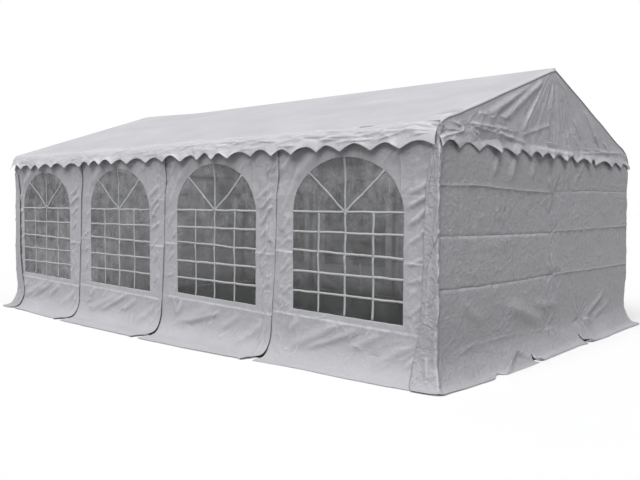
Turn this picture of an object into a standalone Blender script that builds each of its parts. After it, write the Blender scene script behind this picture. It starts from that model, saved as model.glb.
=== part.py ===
"""Frame party tent, 5 m wide and 8 m long, closed on all four sides.

X runs along the tent, Y across it and Z up. The origin is on the ground, under the middle of the
ridge. A steel tube frame of four bays carries one roof cover with scalloped valances, two gables,
four window panels on each long side and one wall at each end. Walls end in a skirt on the ground.
"""

import math

import bmesh
import bpy
from mathutils import Matrix, Vector

# Overall form
LENGTH = 8.0
WIDTH = 5.0
BAYS = 4
RIDGE_Z = 3.28
EAVE_Z = 2.44
EAVE_Y = 2.52
BAY = LENGTH / BAYS
SLOPE = math.atan2(RIDGE_Z - EAVE_Z, EAVE_Y)

# Sheets and fits
SHEET = 0.003
FILM = 0.002
FIT = 0.0003

# Frame tubes, twelve sided, with a flat side against each sheet
TUBE = 0.024
STUB = 0.019
STUB_END = 0.050
SIDES = 12
FOOT = 0.12
FOOT_THICK = 0.006
END_BAR_Z = 2.25

# Walls: how far the sheet leans out at each height, and its skirt
WALL_TOP = 2.42
SKIRT = 0.23
SKIRT_FOLD_Z = 0.038
WALL_PROFILE = (
    (WALL_TOP, 0.0),
    (0.50, 0.0),
    (0.15, 0.050),
    (SKIRT_FOLD_Z, 0.090),
    (SHEET, SKIRT),
)
SIDE_OUT = WIDTH / 2 - 0.010
SHINGLE = 0.008
UNDERLAP = 0.12
OVERLAP = 0.03
EDGE_LEAN = 0.13
SKIRT_LIFT = 0.006
END_OUT = LENGTH / 2
RETURN_OUT = SIDE_OUT + 2 * SHINGLE
RETURN_TOP = 0.10
RETURN_FOOT = 0.17
SKIRT_SLITS = (-0.63, 0.80)
SLIT = 0.016
SLIT_TOP = 0.07

# Windows: one arched window in each side panel
WINDOW_LEFT = 0.212
WINDOW_WIDTH = 1.428
WINDOW_FOOT = 0.553
WINDOW_SPRING = 1.608
WINDOW_RISE = 0.549
FILM_MARGIN = 0.02
ARCH_STEPS = 16

# Valances
VALANCE_OUT = 0.010
NOTCH_DROP = 0.145
TIP_DROP = 0.215
SIDE_SCALLOPS = 24
END_SCALLOPS = 14
SCALLOP_STEPS = 4
ROOF_END = LENGTH / 2 + 0.012
GABLE_OUT = LENGTH / 2 + 0.007

# The frame's own lines follow from the sheets that it carries
FRAME_Y = SIDE_OUT - SHEET - FIT - TUBE
FRAME_X = END_OUT - SHEET - FIT - TUBE
CORNER = TUBE / math.cos(math.pi / SIDES)
AXIS_DROP = (SHEET + FIT + CORNER) / math.cos(SLOPE)
RIDGE_AXIS_Z = RIDGE_Z - AXIS_DROP
EAVE_AXIS_Z = RIDGE_AXIS_Z - FRAME_Y * math.tan(SLOPE)
POST_X = [max(-FRAME_X, min(FRAME_X, -LENGTH / 2 + BAY * i)) for i in range(BAYS + 1)]


def clear_scene():
    for obj in list(bpy.data.objects):
        bpy.data.objects.remove(obj, do_unlink=True)


def material(name, colour, roughness, metallic=0.0):
    made = bpy.data.materials.get(name)
    if made is None:
        made = bpy.data.materials.new(name)
        made.use_nodes = True
        shader = made.node_tree.nodes["Principled BSDF"]
        shader.inputs["Base Color"].default_value = (*colour, 1.0)
        shader.inputs["Roughness"].default_value = roughness
        shader.inputs["Metallic"].default_value = metallic
        made.diffuse_color = (*colour, 1.0)
    return made


def roof_fabric():
    return material("roof_fabric", (0.72, 0.72, 0.74), 0.55)


def wall_fabric():
    return material("wall_fabric", (0.55, 0.55, 0.57), 0.55)


def clear_film():
    return material("clear_film", (0.16, 0.17, 0.17), 0.15)


def galvanised_tube():
    return material("galvanised_tube", (0.55, 0.56, 0.57), 0.4, 0.9)


def place(name, mesh, finish, turned=False):
    """One named object. A turned one stands half a turn round, on the other long side."""
    obj = bpy.data.objects.new(name, mesh)
    bpy.context.scene.collection.objects.link(obj)
    obj.rotation_euler.z = math.pi if turned else 0.0
    if finish is not None and not mesh.materials:
        mesh.materials.append(finish)
    return obj


def mesh_of(name, bm):
    bmesh.ops.recalc_face_normals(bm, faces=bm.faces)
    mesh = bpy.data.meshes.new(name)
    bm.to_mesh(mesh)
    bm.free()
    return mesh


def helper(obj):
    obj.hide_render = True
    obj.display_type = "WIRE"
    return obj


def add_tube(bm, start, end, flat_radius):
    """A twelve-sided tube between two points, with flats facing square to the world's axes."""
    start, end = Vector(start), Vector(end)
    along = end - start
    side = Vector((1, 0, 0)) if abs(along.normalized().x) < 0.5 else Vector((0, 1, 0))
    w = along.normalized()
    u = (side - w * side.dot(w)).normalized()
    turn = Matrix((u, w.cross(u), w)).transposed().to_4x4()
    spot = Matrix.Translation((start + end) / 2) @ turn @ Matrix.Rotation(math.pi / SIDES, 4, "Z")
    corner_radius = flat_radius * CORNER / TUBE
    bmesh.ops.create_cone(
        bm,
        cap_ends=True,
        segments=SIDES,
        radius1=corner_radius,
        radius2=corner_radius,
        depth=along.length,
        matrix=spot,
    )


def tube_mesh(name, start, end, flat_radius=TUBE):
    bm = bmesh.new()
    add_tube(bm, start, end, flat_radius)
    return mesh_of(name, bm)


def union_with(obj, stubs):
    """Joins a group of stubs that don't touch each other onto a rail."""
    join = obj.modifiers.new(stubs.name, "BOOLEAN")
    join.operation = "UNION"
    join.solver = "EXACT"
    join.object = helper(stubs)


def stub_group(name, base, direction, turned=False):
    """Short connector stubs that leave a rail at each post."""
    bm = bmesh.new()
    for x in POST_X:
        start = Vector((x, *base))
        way = Vector((0.0, *direction))
        add_tube(bm, start + way * STUB / 2, start + way * STUB_END, STUB)
    return place(name, mesh_of(name, bm), None, turned)


def eave_rail(name, turned):
    rail = place(
        name,
        tube_mesh(
            name,
            (-FRAME_X - TUBE, -FRAME_Y, EAVE_AXIS_Z),
            (FRAME_X + TUBE, -FRAME_Y, EAVE_AXIS_Z),
        ),
        galvanised_tube(),
        turned,
    )
    base = (-FRAME_Y, EAVE_AXIS_Z)
    uphill = (math.cos(SLOPE), math.sin(SLOPE))
    union_with(rail, stub_group(name + "_post_stubs", base, (0.0, -1.0), turned))
    union_with(rail, stub_group(name + "_rafter_stubs", base, uphill, turned))


def ridge_rail():
    ends = FRAME_X + TUBE
    rail = place(
        "ridge_rail",
        tube_mesh("ridge_rail", (-ends, 0, RIDGE_AXIS_Z), (ends, 0, RIDGE_AXIS_Z)),
        galvanised_tube(),
    )
    for turned in (False, True):
        downhill = (-math.cos(SLOPE), -math.sin(SLOPE))
        name = "ridge_stubs_back" if turned else "ridge_stubs_front"
        union_with(rail, stub_group(name, (0.0, RIDGE_AXIS_Z), downhill, turned))


def posts(side, turned):
    """Upright tubes, each on its own square foot plate."""
    for index, x in enumerate(POST_X):
        name = f"post_{side}_{index + 1}"
        bm = bmesh.new()
        plate = Matrix.Translation((x, -FRAME_Y, FOOT_THICK / 2))
        bmesh.ops.create_cube(bm, size=1.0, matrix=plate @ Matrix.Diagonal((FOOT, FOOT, FOOT_THICK, 1)))
        foot = place(name, mesh_of(name, bm), galvanised_tube(), turned)
        top = EAVE_AXIS_Z - STUB_END - FIT
        shaft = tube_mesh(name + "_shaft", (x, -FRAME_Y, FOOT_THICK / 2), (x, -FRAME_Y, top))
        union_with(foot, place(name + "_shaft", shaft, None, turned))


def rafters(side, turned):
    gap = STUB_END + FIT
    run = Vector((0.0, math.cos(SLOPE), math.sin(SLOPE)))
    for index, x in enumerate(POST_X):
        low = Vector((x, -FRAME_Y, EAVE_AXIS_Z)) + run * gap
        high = Vector((x, 0.0, RIDGE_AXIS_Z)) - run * gap
        name = f"rafter_{side}_{index + 1}"
        place(name, tube_mesh(name, low, high), galvanised_tube(), turned)


def end_bars():
    reach = FRAME_Y - TUBE - FIT
    for name, x in (("end_bar_left", -FRAME_X), ("end_bar_right", FRAME_X)):
        bar = tube_mesh(name, (x, -reach, END_BAR_Z), (x, reach, END_BAR_Z))
        place(name, bar, galvanised_tube())


def scallop(along, pitch):
    """Depth of a valance below its bend: round notches between pointed tips."""
    return TIP_DROP - (TIP_DROP - NOTCH_DROP) * abs(math.sin(math.pi * along / pitch))


def roof_cover():
    """Both slopes and both side valances in one sheet."""
    steps = SIDE_SCALLOPS * SCALLOP_STEPS
    pitch = 2 * ROOF_END / SIDE_SCALLOPS
    bm = bmesh.new()
    bmesh.ops.create_grid(bm, x_segments=steps, y_segments=4, size=0.5)
    for vert in bm.verts:
        along = (vert.co.x + 0.5) * 2 * ROOF_END
        row = round((vert.co.y + 0.5) * 4)
        side = -1 if row < 2 else 1
        drop = EAVE_Z - scallop(along, pitch)
        places = {0: (EAVE_Y + VALANCE_OUT, drop), 1: (EAVE_Y, EAVE_Z), 2: (0.0, RIDGE_Z)}
        out, height = places[min(row, 4 - row)]
        vert.co = (along - ROOF_END, side * out, height)
    cover = place("roof_cover", mesh_of("roof_cover", bm), roof_fabric())
    thicken(cover, SHEET)


def thicken(obj, thickness):
    """Gives a sheet its thickness on the inner side."""
    solid = obj.modifiers.new("thickness", "SOLIDIFY")
    solid.thickness = thickness
    solid.offset = -1.0
    solid.use_even_offset = True


def gable(name, turned):
    """A triangle of fabric under the roof's edge, with its own valance below."""
    steps = END_SCALLOPS * SCALLOP_STEPS
    half = EAVE_Y - SHEET - VALANCE_OUT
    pitch = 2 * half / END_SCALLOPS
    under = (SHEET + FIT) / math.cos(SLOPE)
    outline = [(-half + 2 * half * i / steps, 2 * half * i / steps) for i in range(steps + 1)]
    bm = bmesh.new()
    bottom = [bm.verts.new((GABLE_OUT, y, EAVE_Z - scallop(s, pitch))) for y, s in outline]
    shoulder = RIDGE_Z - half * math.tan(SLOPE) - under
    top = [(half, shoulder), (0.0, RIDGE_Z - under), (-half, shoulder)]
    ring = bottom + [bm.verts.new((GABLE_OUT, y, z)) for y, z in top]
    face = bm.faces.new(ring)
    raised = bmesh.ops.extrude_face_region(bm, geom=[face])
    moved = [item for item in raised["geom"] if isinstance(item, bmesh.types.BMVert)]
    bmesh.ops.translate(bm, verts=moved, vec=(-SHEET, 0, 0))
    place(name, mesh_of(name, bm), roof_fabric(), turned)


def arch_outline(margin):
    """The window's outline in its panel: a box with a flattened arch on it."""
    half = WINDOW_WIDTH / 2 + margin
    rise = WINDOW_RISE + margin
    middle = WINDOW_LEFT + WINDOW_WIDTH / 2
    points = [(middle - half, WINDOW_FOOT - margin), (middle + half, WINDOW_FOOT - margin)]
    for step in range(ARCH_STEPS + 1):
        turn = math.pi * step / ARCH_STEPS
        points.append((middle + half * math.cos(turn), WINDOW_SPRING + rise * math.sin(turn)))
    return points


def panel_span(bay):
    """Where a side panel starts and ends at its top, along X."""
    start = -LENGTH / 2 + BAY * bay
    left = start + 0.012 if bay == 0 else start - UNDERLAP
    right = start + BAY + (-0.012 if bay == BAYS - 1 else OVERLAP)
    return start, left, right


def panel_out(bay, x):
    """How far out a side panel's face lies, so that each right edge laps over the next panel."""
    _, left, right = panel_span(bay)
    return SIDE_OUT + SHINGLE * (x - left) / (right - left)


def slab(name, bay, outline, out, thickness):
    """A flat outline at one depth of a panel, given its thickness inwards."""
    start = panel_span(bay)[0]
    bm = bmesh.new()
    ring = [bm.verts.new((start + x, -panel_out(bay, start + x) - out, z)) for x, z in outline]
    face = bm.faces.new(ring)
    raised = bmesh.ops.extrude_face_region(bm, geom=[face])
    moved = [item for item in raised["geom"] if isinstance(item, bmesh.types.BMVert)]
    bmesh.ops.translate(bm, verts=moved, vec=(0, thickness, 0))
    return mesh_of(name, bm)


def side_panel(side, bay, turned):
    """One wall panel of a long side, with its arched window hole."""
    name = f"wall_{side}_{bay + 1}"
    _, left, right = panel_span(bay)
    lean = 0.0 if bay == BAYS - 1 else EDGE_LEAN
    bm = bmesh.new()
    rows = []
    for height, out in WALL_PROFILE:
        slant = lean * (1 - height / WALL_TOP)
        lift = SKIRT_LIFT if height <= SKIRT_FOLD_Z else 0.0
        low = bm.verts.new((left, -panel_out(bay, left) - out, height))
        high = bm.verts.new((right - slant, -panel_out(bay, right) - out, height + lift))
        rows.append((low, high))
    for upper, lower in zip(rows, rows[1:]):
        bm.faces.new((upper[0], lower[0], lower[1], upper[1]))
    mesh = bpy.data.meshes.new(name)
    bm.to_mesh(mesh)
    bm.free()
    panel = place(name, mesh, wall_fabric(), turned)
    thicken(panel, SHEET)
    hole = slab(name + "_window_hole", bay, arch_outline(0.0), 0.05, 0.1)
    cut = panel.modifiers.new("window_hole", "BOOLEAN")
    cut.operation = "DIFFERENCE"
    cut.solver = "EXACT"
    cut.object = helper(place(name + "_window_hole", hole, None, turned))
    film = slab(f"window_{side}_{bay + 1}", bay, arch_outline(FILM_MARGIN), -SHEET - FIT, FILM)
    place(f"window_{side}_{bay + 1}", film, clear_film(), turned)


def end_wall(name, turned):
    """One sheet across an end, which turns round both corners and laps over the side panels."""
    bm = bmesh.new()
    rows = []
    for height, out in WALL_PROFILE:
        back = RETURN_TOP + (RETURN_FOOT - RETURN_TOP) * (1 - height / WALL_TOP)
        lift = 2 * SKIRT_LIFT if height <= SKIRT_FOLD_Z else 0.0
        side = RETURN_OUT + out
        face = END_OUT + out
        plan = [
            (END_OUT - back, -side, lift),
            (face, -side, lift),
            (face, 0.0, 0.0),
            (face, side, lift),
            (END_OUT - back, side, lift),
        ]
        rows.append([bm.verts.new((x, y, height + up)) for x, y, up in plan])
    for upper, lower in zip(rows, rows[1:]):
        for i in range(len(upper) - 1):
            bm.faces.new((upper[i], lower[i], lower[i + 1], upper[i + 1]))
    mesh = bpy.data.meshes.new(name)
    bm.to_mesh(mesh)
    bm.free()
    wall = place(name, mesh, wall_fabric(), turned)
    thicken(wall, SHEET)
    slits = bmesh.new()
    for y in SKIRT_SLITS:
        middle = Matrix.Translation((END_OUT + SKIRT, y, 0.0))
        size = Matrix.Diagonal((2 * SKIRT, SLIT, 2 * SLIT_TOP, 1))
        bmesh.ops.create_cube(slits, size=1.0, matrix=middle @ size)
    cut = wall.modifiers.new("skirt_slits", "BOOLEAN")
    cut.operation = "DIFFERENCE"
    cut.solver = "EXACT"
    cut.object = helper(place(name + "_slits", mesh_of(name + "_slits", slits), None, turned))


def build():
    clear_scene()
    for side, turned in (("front", False), ("back", True)):
        posts(side, turned)
        eave_rail(f"eave_rail_{side}", turned)
        rafters(side, turned)
        for bay in range(BAYS):
            side_panel(side, bay, turned)
    ridge_rail()
    end_bars()
    roof_cover()
    for side, turned in (("right", False), ("left", True)):
        gable(f"gable_{side}", turned)
        end_wall(f"end_wall_{side}", turned)


build()
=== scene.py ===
"""Cloth, windows, metal finish and studio for the frame party tent.

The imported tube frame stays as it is. Each sheet of the tent is cut flat here, as its maker would
cut it, and then laid over the frame with its creases, hems and skirts. X runs along the tent, Y
across it and Z up, and everything is in metres.
"""

import math

import bmesh
import bpy
import numpy as np
from mathutils import Matrix, Vector


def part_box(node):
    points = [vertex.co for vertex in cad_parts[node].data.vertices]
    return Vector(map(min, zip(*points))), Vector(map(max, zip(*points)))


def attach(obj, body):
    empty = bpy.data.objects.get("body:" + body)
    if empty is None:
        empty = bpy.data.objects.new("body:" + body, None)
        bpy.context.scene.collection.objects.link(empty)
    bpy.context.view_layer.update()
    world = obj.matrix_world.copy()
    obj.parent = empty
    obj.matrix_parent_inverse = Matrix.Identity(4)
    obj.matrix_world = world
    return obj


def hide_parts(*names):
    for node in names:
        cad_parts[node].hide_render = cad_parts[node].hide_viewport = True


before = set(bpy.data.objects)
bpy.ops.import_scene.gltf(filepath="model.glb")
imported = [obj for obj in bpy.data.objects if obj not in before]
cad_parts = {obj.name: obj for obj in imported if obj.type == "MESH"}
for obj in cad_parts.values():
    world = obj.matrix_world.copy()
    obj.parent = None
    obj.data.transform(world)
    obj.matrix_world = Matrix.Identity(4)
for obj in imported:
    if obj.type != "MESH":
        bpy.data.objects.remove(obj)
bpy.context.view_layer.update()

bl_info = {
    "name": "Frame party tent",
    "version": (1, 0, 0),
    "blender": (4, 5, 0),
    "location": "View3D > Sidebar > Party tent",
    "description": "Cloth, windows and finishes for a frame party tent of four bays",
    "category": "Add Mesh",
}

ROOF_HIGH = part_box("roof_cover")[1]

# Overall form, as in the frame
BAYS = 4
LENGTH = 8.0
BAY = LENGTH / BAYS
RIDGE_Z = ROOF_HIGH.z
ROOF_END = ROOF_HIGH.x
EAVE_Z = 2.44
EAVE_Y = 2.52
SLOPE = math.atan2(RIDGE_Z - EAVE_Z, EAVE_Y)
WALL_TOP = 2.42
WALL_OUT = 2.49
SHINGLE = 0.008
UNDERLAP = 0.12
OVERLAP = 0.03
END_OUT = 4.0
GABLE_OUT = 4.006

# Valance: pointed tips with round notches between them
NOTCH_DROP = 0.160
TIP_DROP = 0.235
SIDE_SCALLOPS = 24
END_SCALLOPS = 14

# How far the wall stands out at each height, down to the edge of its skirt
SIDE_PATH = (
    (0.0, WALL_TOP),
    (0.024, 2.37),
    (0.034, 2.30),
    (0.024, 2.20),
    (0.008, 2.08),
    (0.0, 1.96),
    (0.0, 0.32),
    (0.004, 0.25),
    (0.017, 0.180),
    (0.042, 0.118),
    (0.074, 0.062),
    (0.106, 0.024),
    (0.150, 0.010),
    (0.300, 0.005),
)
END_PATH = (
    (0.0, WALL_TOP),
    (0.004, 1.80),
    (0.012, 1.20),
    (0.017, 0.90),
    (0.012, 0.60),
    (0.0, 0.37),
    (0.0, 0.30),
    (0.010, 0.225),
    (0.034, 0.150),
    (0.066, 0.078),
    (0.094, 0.032),
    (0.135, 0.010),
    (0.215, 0.004),
)
# How far the long side's skirt reaches, from left to right
SIDE_REACH_X = (-4.0, -3.0, -2.0, -1.0, 0.0, 1.0, 1.8, 2.3, 3.0, 3.6, 4.0)
SIDE_REACH = (0.17, 0.25, 0.33, 0.34, 0.36, 0.35, 0.29, 0.22, 0.23, 0.21, 0.15)

# The long side's skirt reaches no further than this
REACH_LIMIT = 0.395

# A film and its bars, as sheets behind the fabric, and the colours that stay as they are
FILM_THICK = 0.0008
FILM_GAP = 0.0006
FILM_MARGIN = 0.016
FILM_STEP = 0.035
BAR_THICK = 0.0010
BAR_PROUD = 0.0025
BAR_ROWS = 5
BAR_COLUMNS = 4
FAN_TURNS = (47, 90, 133)
BAR_COLOUR = (0.50, 0.51, 0.51)
STEEL_COLOUR = (0.56, 0.57, 0.58)

# Light, floor and camera of the studio
SUN_WAY = (-0.25, 0.52, -0.815)
SUN_SPREAD = 50
ROOF_LIGHT_SIZE = (7.6, 3.6)
ROOF_LIGHT_Z = 2.55
FLOOR_HALF = 150.0
SHADE_HALF = (4.12, 2.62)
SHADE_Z = 0.0008
SHADE_COLOUR = (0.022, 0.031, 0.025)
CAMERA_PLACE = (7.437, -8.019, 1.676)
CAMERA_YAW = -41.24
CAMERA_PITCH = -2.76
CAMERA_ROLL = 0.31
CAMERA_LENS = 40.03


class TentCloth(bpy.types.PropertyGroup):
    roof_colour: bpy.props.FloatVectorProperty(
        name="Roof colour", description="Colour of the roof's coated fabric",
        subtype="COLOR", size=3, min=0.0, max=1.0, default=(0.575, 0.568, 0.600),
    )
    gable_colour: bpy.props.FloatVectorProperty(
        name="Gable colour", description="Colour of the gables' coated fabric",
        subtype="COLOR", size=3, min=0.0, max=1.0, default=(0.575, 0.568, 0.600),
    )
    wall_colour: bpy.props.FloatVectorProperty(
        name="Wall colour", description="Colour of the walls' coated fabric",
        subtype="COLOR", size=3, min=0.0, max=1.0, default=(0.505, 0.500, 0.528),
    )
    # Painted shade: the end walls' colour is darker than the long walls', for the ends that stand
    # out of the light.
    end_shaded_colour: bpy.props.FloatVectorProperty(
        name="End wall colour", description="Colour of the end walls' coated fabric",
        subtype="COLOR", size=3, min=0.0, max=1.0, default=(0.470, 0.465, 0.492),
    )
    thickness: bpy.props.FloatProperty(
        name="Thickness", description="Thickness of a sheet of fabric",
        unit="LENGTH", min=0.0003, max=0.003, default=0.0012,
    )
    creasing: bpy.props.FloatProperty(
        name="Creasing", description="How deep the packing creases and wrinkles are",
        subtype="FACTOR", min=0.0, max=2.0, default=1.0,
    )
    fine_step: bpy.props.FloatProperty(
        name="Front mesh step", description="Mesh spacing on the front and right walls",
        unit="LENGTH", min=0.01, max=0.2, default=0.020,
    )
    coarse_step: bpy.props.FloatProperty(
        name="Back mesh step", description="Mesh spacing on the back and left walls",
        unit="LENGTH", min=0.01, max=0.2, default=0.030,
    )


class TentWindows(bpy.types.PropertyGroup):
    left: bpy.props.FloatProperty(
        name="Left margin", description="From the start of a bay to its window",
        unit="LENGTH", default=0.212,
    )
    width: bpy.props.FloatProperty(
        name="Width", description="Width of a window", unit="LENGTH", default=1.428,
    )
    foot: bpy.props.FloatProperty(
        name="Foot", description="Height of a window's lower edge", unit="LENGTH", default=0.553,
    )
    spring: bpy.props.FloatProperty(
        name="Spring", description="Height at which the arch starts", unit="LENGTH", default=1.608,
    )
    rise: bpy.props.FloatProperty(
        name="Rise", description="Height of the arch over its start", unit="LENGTH", default=0.549,
    )
    bar_width: bpy.props.FloatProperty(
        name="Bar width", description="Width of a welded window bar", unit="LENGTH", default=0.025,
    )
    film_colour: bpy.props.FloatVectorProperty(
        name="Film colour", description="Haze of the clear film",
        subtype="COLOR", size=3, min=0.0, max=1.0, default=(0.105, 0.105, 0.110),
    )
    film_cover: bpy.props.FloatProperty(
        name="Film cover", description="How much of the view the film's haze covers",
        subtype="FACTOR", min=0.0, max=1.0, default=0.62,
    )


class TentStage(bpy.types.PropertyGroup):
    sun: bpy.props.FloatProperty(
        name="Main light", description="Strength of the soft main light", default=3.15,
    )
    zenith: bpy.props.FloatProperty(
        name="Light from above", description="Strength of the sky overhead", default=0.31,
    )
    horizon: bpy.props.FloatProperty(
        name="Light from the sides", description="Strength of the sky at the horizon", default=0.25,
    )
    ground: bpy.props.FloatProperty(
        name="Light from below", description="Strength of the light off the ground", default=0.24,
    )
    inside: bpy.props.FloatProperty(
        name="Light inside", description="Light that comes through the roof", default=300.0,
    )
    floor_tone: bpy.props.FloatProperty(
        name="Floor tone", description="How pale the floor is", subtype="FACTOR", default=0.90,
    )


# Relief: seeded noise, creases and folds, all worked out on whole arrays

def smooth_step(x):
    x = np.clip(x, 0.0, 1.0)
    return x * x * (3.0 - 2.0 * x)


def lattice_value(i, j, seed):
    mixed = (i * 73856093) ^ (j * 19349663) ^ (seed * 83492791)
    mixed = mixed & 0x7FFFFFFF
    mixed = ((mixed ^ (mixed >> 13)) * 1274126177) & 0x7FFFFFFF
    mixed = mixed ^ (mixed >> 16)
    return (mixed & 0xFFFF) / 32767.5 - 1.0


def noise(x, y, seed):
    """Smooth noise between -1 and 1, with one random value at each whole x and y."""
    x, y = np.broadcast_arrays(np.asarray(x, float), np.asarray(y, float))
    i, j = np.floor(x).astype(np.int64), np.floor(y).astype(np.int64)
    fx, fy = smooth_step(x - i), smooth_step(y - j)
    low = lattice_value(i, j, seed) * (1 - fx) + lattice_value(i + 1, j, seed) * fx
    high = lattice_value(i, j + 1, seed) * (1 - fx) + lattice_value(i + 1, j + 1, seed) * fx
    return low * (1 - fy) + high * fy


def rough(x, y, seed, octaves=3):
    total = 0.0
    for octave in range(octaves):
        scale = 2.03 ** octave
        total = total + noise(x * scale, y * scale, seed + 17 * octave) / 1.9 ** octave
    return total / 1.6


def crease(x, y, start, end, height, width, bow=0.0, fade=0.25, sharp=True):
    """A fold between two points. A sharp one has a pointed crest, and a soft one a round crest."""
    run, rise = end[0] - start[0], end[1] - start[1]
    length = math.hypot(run, rise)
    along = ((x - start[0]) * run + (y - start[1]) * rise) / length ** 2
    across = ((y - start[1]) * run - (x - start[0]) * rise) / length
    across = across - bow * 4 * along * (1 - along)
    ends = smooth_step(along / fade) * smooth_step((1 - along) / fade)
    across = np.abs(across) / width
    shape = np.exp(-across) if sharp else np.exp(-across ** 2)
    return height * shape * ends


def creases(x, y, rows, bow=0.0, fade=0.3, sharp=True):
    """The creases of a table. A row holds both ends of a crease, its height and its width."""
    total = 0.0
    for row in rows:
        total = total + crease(x, y, row[:2], row[2:4], row[4], row[5], bow, fade, sharp)
    return total


def line_crests(x, y, lines, width, seed, ledge=False):
    """Packing creases, each on its own straight row of the flat cloth.

    A crease has one height left of the middle and another right of it, as cloth that was folded
    in half first is creased the other way round there. A ledge juts out just below its row.
    """
    total = 0.0
    for number, (row, knots, left, right) in enumerate(lines):
        first, last = knots[0][0], knots[-1][0]
        ends = smooth_step((x - first) / 0.06 + 1) * smooth_step((last - x) / 0.06 + 1)
        vary = 0.9 + 0.45 * noise(x / 0.09, number, seed) + 0.2 * noise(x / 0.03, number, seed + 1)
        away = np.abs(y - row)
        if ledge:
            form = smooth_step((row + width - y) / (2 * width)) * np.exp(-away / (7 * width))
        else:
            form = np.exp(-away / width) + 0.2 * np.exp(-away / (6 * width))
        total = total + np.where(x < 0, left, right) * vary * ends * form
    return total


def line_shift(x, y, lines, seed):
    """How far each packing crease wanders up or down from its straight row."""
    total = 0.0
    for number, (row, knots, _, _) in enumerate(lines):
        wander = np.interp(x, *zip(*knots)) - row + 0.004 * rough(x / 0.12, number, seed, 2)
        total = total + wander * np.exp(-((y - row) / 0.11) ** 2)
    return total


def crumple(x, y, seed):
    """Ridged noise of three sizes, like cloth that was packed small."""
    bent_x = x + 0.05 * noise(x / 0.17, y / 0.17, seed + 5)
    bent_y = y + 0.05 * noise(x / 0.17, y / 0.17, seed + 6)
    total = 0.0
    for number, (size, height) in enumerate(((0.24, 0.0070), (0.12, 0.0050), (0.06, 0.0026))):
        ridges = np.abs(noise(bent_x / size, bent_y / size, seed + 31 * number))
        total = total + height * (0.5 - 2.0 * ridges)
    return total


def star(x, y, centre, reach, height, rays, seed):
    """Short creases that run out from one point, as where two packing folds cross."""
    draw = np.random.default_rng(seed)
    total = 0.0
    turns = np.linspace(0, 2 * math.pi, rays, endpoint=False) + draw.uniform(-0.3, 0.3, rays)
    for turn in turns:
        far = reach * draw.uniform(0.55, 1.0)
        near = reach * draw.uniform(0.0, 0.15)
        start = (centre[0] + near * math.cos(turn), centre[1] + near * math.sin(turn))
        end = (centre[0] + far * math.cos(turn), centre[1] + far * math.sin(turn))
        size = height * draw.uniform(0.5, 1.0) * draw.choice((1.0, -0.7))
        total = total + crease(x, y, start, end, size, 0.016 + 0.02 * far, fade=0.35)
    return total


def random_creases(x, y, area, count, length, height, seed, heading=None, width=0.022):
    """Small creases strewn over an area. Heading gives their mean angle and spread."""
    draw = np.random.default_rng(seed)
    total = 0.0
    for _ in range(count):
        middle = draw.uniform(area[0], area[1]), draw.uniform(area[2], area[3])
        turn = draw.uniform(0, math.pi) if heading is None else draw.normal(*heading)
        half = draw.uniform(0.4, 1.0) * length / 2
        start = (middle[0] - half * math.cos(turn), middle[1] - half * math.sin(turn))
        end = (middle[0] + half * math.cos(turn), middle[1] + half * math.sin(turn))
        size = height * draw.uniform(0.35, 1.0) * draw.choice((1.0, 1.0, -0.8))
        bow = draw.uniform(-0.12, 0.12) * half
        spread = width * draw.uniform(0.7, 1.4)
        total = total + crease(x, y, start, end, size, spread, bow, 0.4, draw.random() < 0.6)
    return total


def strewn(x, y, seed, lots):
    """Small creases in lots. A lot has its area, count, length, height, heading and width."""
    total = 0.0
    for number, (area, count, length, height, heading, width) in enumerate(lots):
        total = total + random_creases(x, y, area, count, length, height, seed + number, heading,
                                       width)
    return total


# Flat cloth: grids cut to shape, then laid out

def spaced(start, end, step, lines=()):
    """Even positions, with three close ones at each crease line."""
    spots = np.linspace(start, end, max(2, round((end - start) / step)) + 1)
    for line in lines:
        spots = spots[np.abs(spots - line) > 0.8 * step]
        spots = np.append(spots, (line - 0.4 * step, line, line + 0.4 * step))
    inner = spots[(spots > start + 0.2 * step) & (spots < end - 0.2 * step)]
    return np.unique(np.append(inner, (start, end)))


def flat_grid(across, up):
    bm = bmesh.new()
    columns, rows = len(across) - 1, len(up) - 1
    bmesh.ops.create_grid(bm, x_segments=columns, y_segments=rows, size=0.5)
    for vert in bm.verts:
        column = round((vert.co.x + 0.5) * columns)
        row = round((vert.co.y + 0.5) * rows)
        vert.co = (across[column], up[row], 0.0)
    return bm


def cut_outline(bm, outline, keep_inside):
    """Cuts a flat grid along a convex outline that runs anticlockwise."""
    faces = set(bm.faces)
    for start, end in zip(outline, outline[1:] + outline[:1]):
        start, end = Vector((*start, 0.0)), Vector((*end, 0.0))
        outward = Vector((end.y - start.y, start.x - end.x, 0.0)).normalized()
        near = [f for f in faces if f.is_valid]
        edges = {e for f in near for e in f.edges}
        verts = {v for f in near for v in f.verts}
        cut = bmesh.ops.bisect_plane(
            bm, geom=near + list(edges) + list(verts), dist=0.0005,
            plane_co=start, plane_no=outward,
        )
        found = {g for g in cut["geom"] if isinstance(g, bmesh.types.BMFace)}
        faces = {f for f in found if (f.calc_center_median() - start).dot(outward) < 0}
    doomed = [f for f in bm.faces if f not in faces] if keep_inside else list(faces)
    bmesh.ops.delete(bm, geom=doomed, context="FACES")
    bmesh.ops.remove_doubles(bm, verts=bm.verts, dist=0.0025)


def drop_columns(bm, low, high, below):
    """Takes out the faces between two columns, below a row, which leaves a slit."""
    middle = [(f, f.calc_center_median()) for f in bm.faces]
    doomed = [f for f, c in middle if low < c.x < high and c.y < below]
    bmesh.ops.delete(bm, geom=doomed, context="FACES")


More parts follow.
